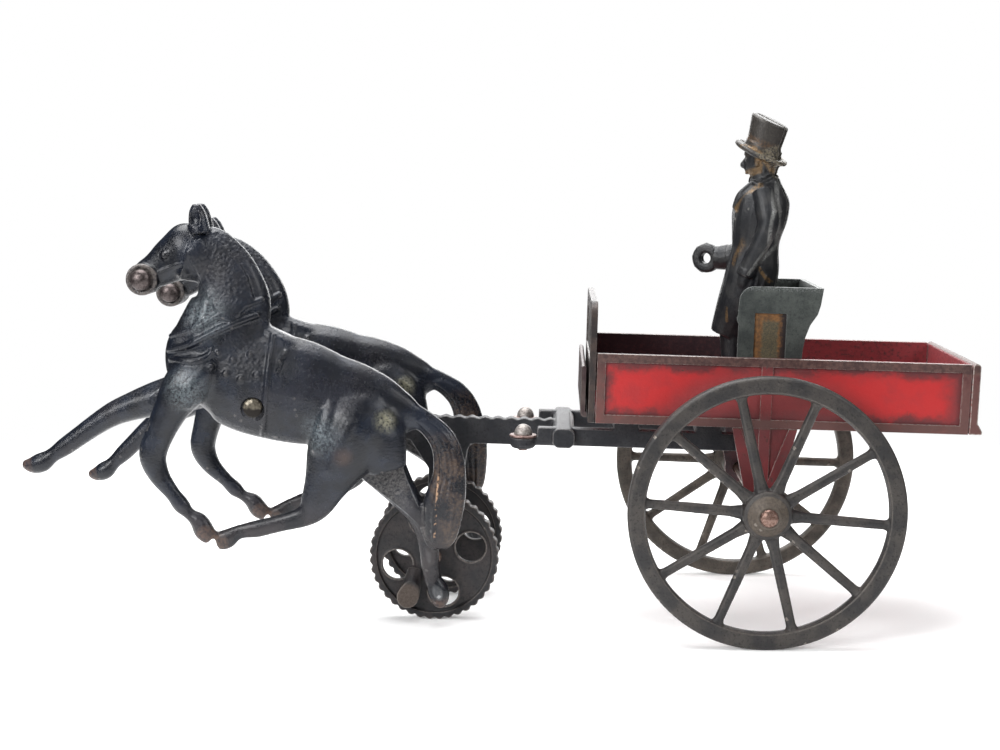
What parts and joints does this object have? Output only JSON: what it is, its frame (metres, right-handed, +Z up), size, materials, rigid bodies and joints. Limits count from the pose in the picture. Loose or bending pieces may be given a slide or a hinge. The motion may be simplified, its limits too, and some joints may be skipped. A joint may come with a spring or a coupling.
{
  "type": "horse-drawn wagon toy",
  "caption": "Cast-iron toy cart with a rocking galloping pair, a driver in a top hat and scalloped gallop wheels.",
  "frame": {"origin": "the middle of the ground under the whole toy", "axes": "+Z up, +X from the horses to the tailboard, +Y from the near side to the far side"},
  "size_m": [0.3012, 0.1022, 0.1618],
  "materials": {
    "red_casting": "worn red enamel",
    "dark_plate": "worn dark japanning",
    "grey_seat": "worn grey-green enamel",
    "black_casting": "worn black japanning",
    "bronzed_casting": "dark, rubbed to bare iron",
    "coat_casting": "dark grey with gold and flesh paint",
    "bare_steel": "peened and rusted"
  },
  "bodies": {
    "cart": {"cart_side_near": "red_casting", "cart_side_far": "red_casting", "cart_floor": "red_casting", "dashboard": "dark_plate", "front_apron": "dark_plate", "tailboard": "red_casting", "seat": "grey_seat", "seat_rivet_near": "bare_steel", "seat_rivet_far": "bare_steel", "big_axle": "bare_steel", "pole_frame": "black_casting", "frame_rivet_front_near": "bare_steel", "frame_rivet_front_far": "bare_steel", "frame_rivet_rear_near": "bare_steel", "frame_rivet_rear_far": "bare_steel", "trace_stud_near": "bare_steel", "trace_stud_far": "bare_steel", "cross_rod": "bare_steel", "driver_pin": "bare_steel"},
    "near_big_wheel": {"big_wheel_near": "bronzed_casting"},
    "far_big_wheel": {"big_wheel_far": "bronzed_casting"},
    "gallop_wheels": {"gallop_axle": "bare_steel", "gallop_wheel_near": "black_casting", "gallop_wheel_far": "black_casting"},
    "near_horse": {"near_horse_near_half": "black_casting", "near_horse_far_half": "black_casting", "near_horse_nose_rivet": "bare_steel"},
    "far_horse": {"far_horse_near_half": "black_casting", "far_horse_far_half": "black_casting", "far_horse_nose_rivet": "bare_steel"},
    "driver": {"driver_near_half": "coat_casting", "driver_far_half": "coat_casting", "driver_rivet": "bare_steel"}
  },
  "joints": [
    {"name": "near_big_wheel_spin", "type": "hinge", "parent": "cart", "child": "near_big_wheel", "pos_m": [0.08369, 0, 0.04199], "axis": [0, 1, 0], "continuous": true},
    {"name": "far_big_wheel_spin", "type": "hinge", "parent": "cart", "child": "far_big_wheel", "pos_m": [0.08369, 0, 0.04199], "axis": [0, 1, 0], "continuous": true},
    {"name": "gallop_wheel_spin", "type": "hinge", "parent": "cart", "child": "gallop_wheels", "pos_m": [-0.01921, 0, 0.02099], "axis": [0, 1, 0], "continuous": true},
    {"name": "near_horse_rock", "type": "hinge", "parent": "cart", "child": "near_horse", "pos_m": [-0.07361, -0.027, 0.07209], "axis": [0, -1, 0], "range_deg": [0, 8.5]},
    {"name": "far_horse_rock", "type": "hinge", "parent": "cart", "child": "far_horse", "pos_m": [-0.07361, 0.027, 0.07209], "axis": [0, -1, 0], "range_deg": [-8.5, 0]},
    {"name": "driver_turn", "type": "hinge", "parent": "cart", "child": "driver", "pos_m": [0.07669, 0, 0.04217], "axis": [0.0262, 0, 0.9997], "continuous": true}
  ],
  "couplings": [
    {"joint": "far_horse_rock", "follows": "near_horse_rock", "ratio": -1}
  ]
}
